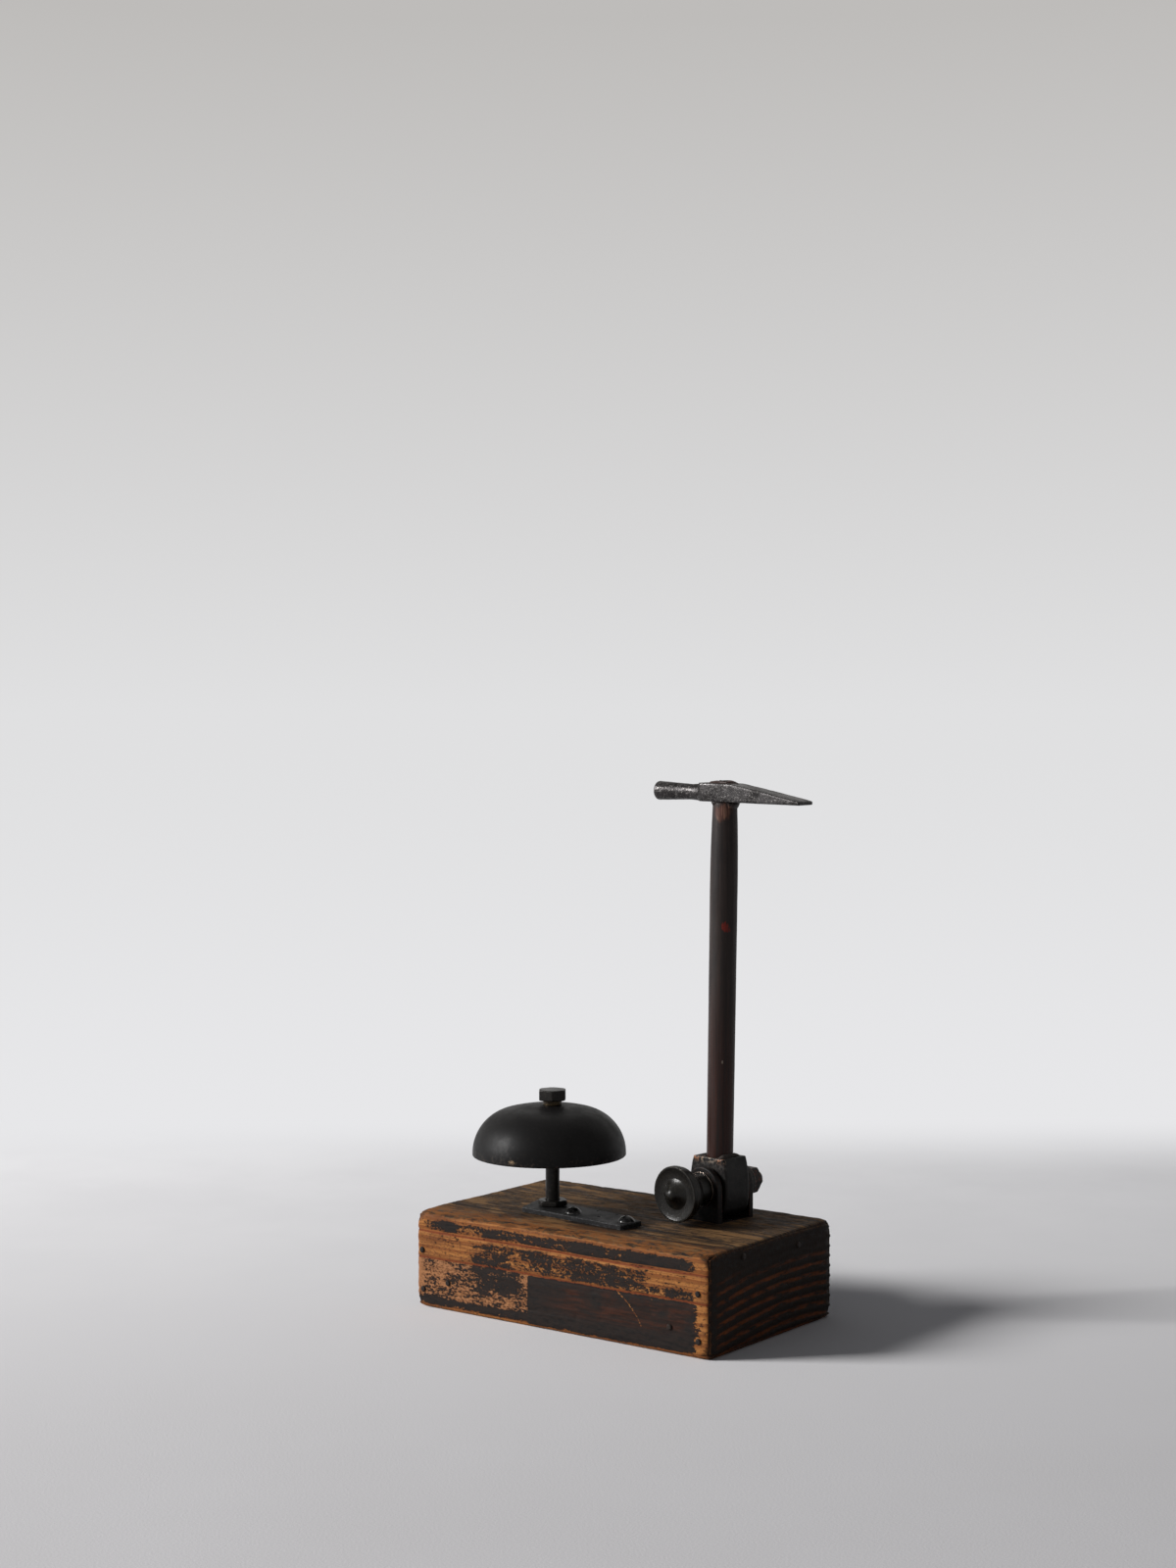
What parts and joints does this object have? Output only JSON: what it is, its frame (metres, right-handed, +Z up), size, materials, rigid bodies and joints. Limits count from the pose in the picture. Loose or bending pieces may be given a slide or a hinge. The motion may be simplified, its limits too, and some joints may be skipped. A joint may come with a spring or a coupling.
{
  "type": "struck bell demonstrator",
  "caption": "Hand-struck bell on a timber block: a dished gong on a bolt, and a small cross-pein hammer standing in a tilting socket on a clamped axle.",
  "frame": {"origin": "centre of the timber block's underside", "axes": "+X along the block's length towards the hammer, +Y to the back, away from the knob, +Z up"},
  "size_m": [0.179, 0.1056, 0.2586],
  "materials": {
    "timber": "weathered softwood, worn and patchily stained",
    "nail_steel": "rusted nail heads",
    "strap_steel": "dark blued strip steel, worn",
    "screw_steel": "dull screw heads",
    "gong_metal": "black oxidised, satin",
    "bolt_steel": "dark oxidised steel",
    "collar_brass": "aged brass",
    "ear_iron": "dark iron with worn brown edges",
    "washer_steel": "dark plated steel",
    "nut_bronze": "darkened, rust red in places",
    "socket_iron": "dark iron, copper brown worn lip",
    "handle_wood": "dark oiled hardwood, satin",
    "head_steel": "forged steel, mottled grey",
    "knob_bronze": "dark bronze, satin"
  },
  "bodies": {
    "root": {"base_block": "timber", "edge_nails": "nail_steel", "bell_plate": "strap_steel", "plate_screw_inner": "screw_steel", "plate_screw_outer": "screw_steel", "bell_gong": "gong_metal", "gong_bolt": "bolt_steel", "gong_collar": "collar_brass", "crown_washer": "bolt_steel", "crown_nut": "bolt_steel", "foot_nut": "bolt_steel", "bracket_yoke": "ear_iron", "yoke_screw_left": "screw_steel", "yoke_screw_right": "screw_steel", "knob_washer": "washer_steel", "back_washer": "washer_steel", "lock_washer": "washer_steel", "acorn_nut": "nut_bronze"},
    "socket": {"socket_cup": "socket_iron", "socket_washer_front": "washer_steel", "socket_washer_back": "washer_steel"},
    "hammer": {"hammer_handle": "handle_wood", "hammer_head": "head_steel", "head_wedge": "bolt_steel"},
    "knob": {"thumb_knob": "knob_bronze", "knob_spacer": "knob_bronze", "pivot_bolt": "bolt_steel"}
  },
  "joints": [
    {"name": "socket_tilt", "type": "hinge", "parent": "root", "child": "socket", "pos_m": [0.0422, 0.022, 0.0628], "axis": [-0.1392, -0.9903, 0], "range_deg": [-90, 90]},
    {"name": "hammer_lift", "type": "slide", "parent": "socket", "child": "hammer", "axis": [0.0175, 0, 0.9998], "range_m": [0, 0.04]},
    {"name": "knob_turn", "type": "hinge", "parent": "root", "child": "knob", "pos_m": [0.0422, 0.022, 0.0628], "axis": [-0.1392, -0.9903, 0], "range_deg": [0, 360]}
  ]
}
